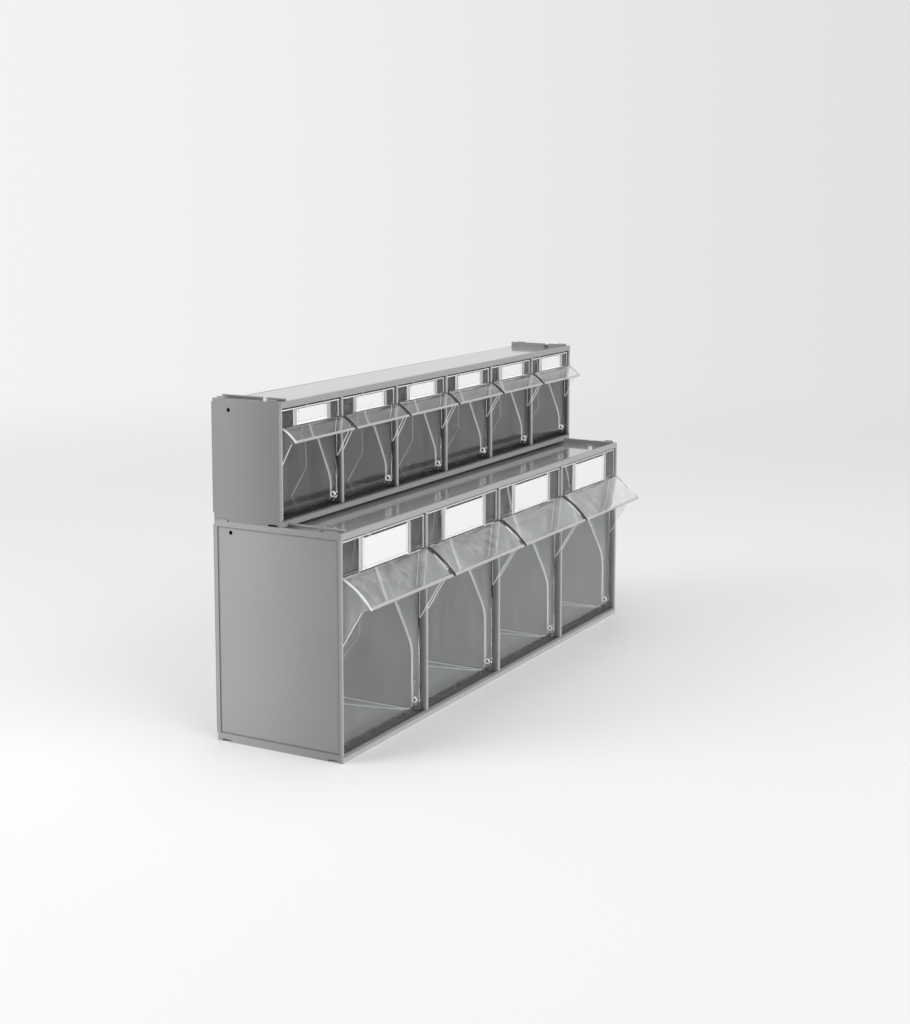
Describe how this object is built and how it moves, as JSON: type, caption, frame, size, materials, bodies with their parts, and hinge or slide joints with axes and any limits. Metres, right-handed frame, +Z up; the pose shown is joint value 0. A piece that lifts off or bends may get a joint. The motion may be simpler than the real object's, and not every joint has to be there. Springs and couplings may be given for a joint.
{
  "type": "parts bin cabinet",
  "caption": "Stacked small-parts cabinet: grey plastic housings with clear tip-out bins that swing forward on pins, each with a curved finger visor and a label pocket.",
  "frame": {"origin": "on the standing surface, under the middle of the whole cabinet's bounding box, visors included", "axes": "+X along the width, to the right as seen from the front; -Y is the front, where the bins tip out; +Z up"},
  "size_m": [0.6, 0.168, 0.3202],
  "materials": {
    "housing": "satin moulded grey",
    "clear_bin": "clear, polished mould",
    "label_card": "white card"
  },
  "bodies": {
    "cabinet": {"lower_housing": "housing", "upper_housing": "housing"},
    "lower_bin_1": {"lower_bin_1": "clear_bin", "lower_label_card_1": "label_card"},
    "lower_bin_2": {"lower_bin_2": "clear_bin", "lower_label_card_2": "label_card"},
    "lower_bin_3": {"lower_bin_3": "clear_bin", "lower_label_card_3": "label_card"},
    "lower_bin_4": {"lower_bin_4": "clear_bin", "lower_label_card_4": "label_card"},
    "upper_bin_1": {"upper_bin_1": "clear_bin", "upper_label_card_1": "label_card"},
    "upper_bin_2": {"upper_bin_2": "clear_bin", "upper_label_card_2": "label_card"},
    "upper_bin_3": {"upper_bin_3": "clear_bin", "upper_label_card_3": "label_card"},
    "upper_bin_4": {"upper_bin_4": "clear_bin", "upper_label_card_4": "label_card"},
    "upper_bin_5": {"upper_bin_5": "clear_bin", "upper_label_card_5": "label_card"},
    "upper_bin_6": {"upper_bin_6": "clear_bin", "upper_label_card_6": "label_card"}
  },
  "joints": [
    {"name": "lower_bin_1_tip", "type": "hinge", "parent": "cabinet", "child": "lower_bin_1", "pos_m": [-0.22387, -0.0422, 0.0173], "axis": [1, 0, 0], "range_deg": [0, 45]},
    {"name": "lower_bin_2_tip", "type": "hinge", "parent": "cabinet", "child": "lower_bin_2", "pos_m": [-0.07462, -0.0422, 0.0173], "axis": [1, 0, 0], "range_deg": [0, 45]},
    {"name": "lower_bin_3_tip", "type": "hinge", "parent": "cabinet", "child": "lower_bin_3", "pos_m": [0.07462, -0.0422, 0.0173], "axis": [1, 0, 0], "range_deg": [0, 45]},
    {"name": "lower_bin_4_tip", "type": "hinge", "parent": "cabinet", "child": "lower_bin_4", "pos_m": [0.22387, -0.0422, 0.0173], "axis": [1, 0, 0], "range_deg": [0, 45]},
    {"name": "upper_bin_1_tip", "type": "hinge", "parent": "cabinet", "child": "upper_bin_1", "pos_m": [-0.24875, 0.0167, 0.2205], "axis": [1, 0, 0], "range_deg": [0, 45]},
    {"name": "upper_bin_2_tip", "type": "hinge", "parent": "cabinet", "child": "upper_bin_2", "pos_m": [-0.14925, 0.0167, 0.2205], "axis": [1, 0, 0], "range_deg": [0, 45]},
    {"name": "upper_bin_3_tip", "type": "hinge", "parent": "cabinet", "child": "upper_bin_3", "pos_m": [-0.04975, 0.0167, 0.2205], "axis": [1, 0, 0], "range_deg": [0, 45]},
    {"name": "upper_bin_4_tip", "type": "hinge", "parent": "cabinet", "child": "upper_bin_4", "pos_m": [0.04975, 0.0167, 0.2205], "axis": [1, 0, 0], "range_deg": [0, 45]},
    {"name": "upper_bin_5_tip", "type": "hinge", "parent": "cabinet", "child": "upper_bin_5", "pos_m": [0.14925, 0.0167, 0.2205], "axis": [1, 0, 0], "range_deg": [0, 45]},
    {"name": "upper_bin_6_tip", "type": "hinge", "parent": "cabinet", "child": "upper_bin_6", "pos_m": [0.24875, 0.0167, 0.2205], "axis": [1, 0, 0], "range_deg": [0, 45]}
  ]
}
